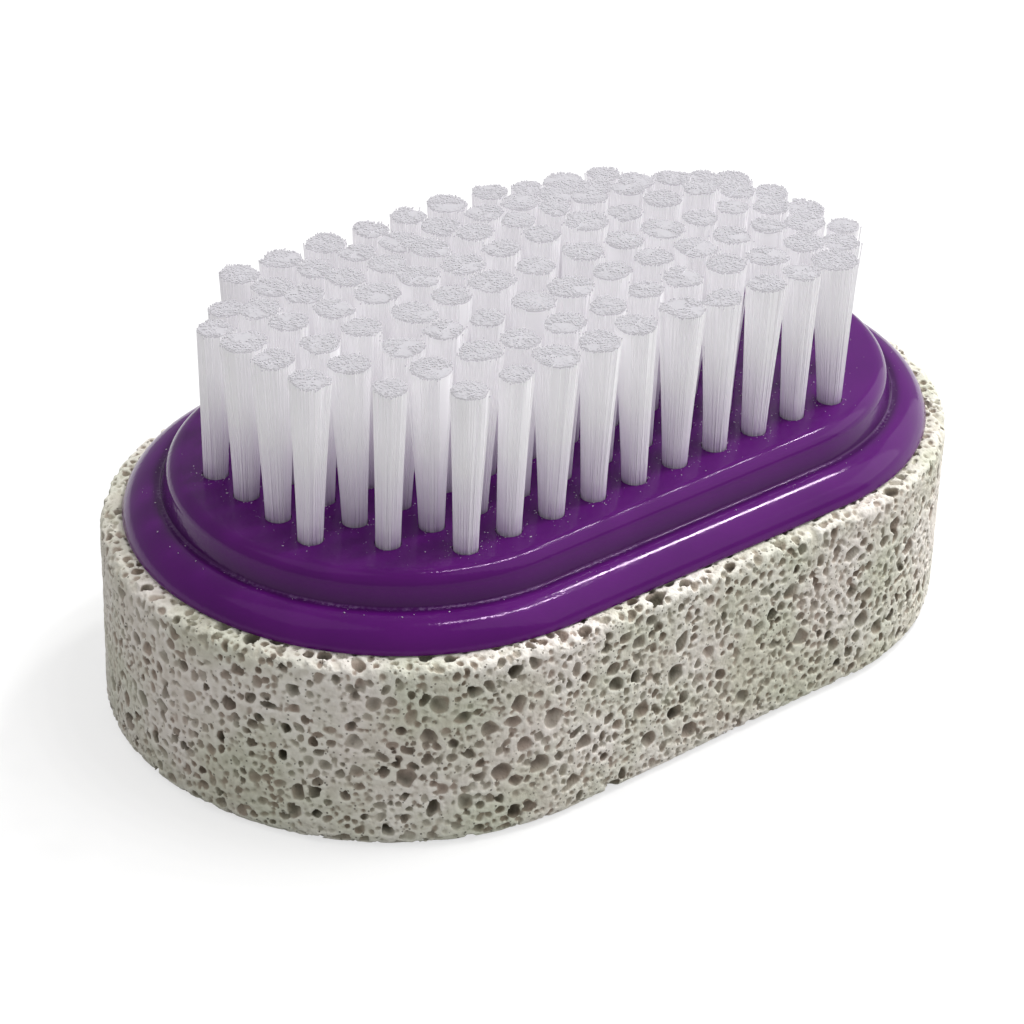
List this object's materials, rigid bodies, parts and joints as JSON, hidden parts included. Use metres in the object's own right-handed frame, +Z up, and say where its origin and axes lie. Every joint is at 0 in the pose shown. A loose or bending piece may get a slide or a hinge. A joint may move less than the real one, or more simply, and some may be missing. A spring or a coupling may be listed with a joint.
{
  "type": "callus rasp",
  "caption": "Oval pumice callus stone bonded under a two-step plastic back that carries rows of cropped nylon brush tufts.",
  "frame": {"origin": "middle of the stone's flat resting face", "axes": "+X along the block, +Y across it, +Z up from the stone to the bristle tips"},
  "size_m": [0.095, 0.058, 0.0437],
  "materials": {
    "pumice": "rough, open pores",
    "adhesive": "cured resin",
    "purple_plastic": "gloss moulded",
    "white_nylon": "satin, translucent filament",
    "anchor_wire": "drawn flat wire"
  },
  "bodies": {
    "root": {"pumice_stone": "pumice", "adhesive_bond": "adhesive", "brush_back": "purple_plastic", "tuft_row_1": "white_nylon", "tuft_row_2": "white_nylon", "tuft_row_3": "white_nylon", "tuft_row_4": "white_nylon", "tuft_row_5": "white_nylon", "tuft_row_6": "white_nylon", "tuft_row_7": "white_nylon", "tuft_row_8": "white_nylon", "anchor_row_1": "anchor_wire", "anchor_row_2": "anchor_wire", "anchor_row_3": "anchor_wire", "anchor_row_4": "anchor_wire", "anchor_row_5": "anchor_wire", "anchor_row_6": "anchor_wire", "anchor_row_7": "anchor_wire", "anchor_row_8": "anchor_wire"}
  },
  "joints": []
}
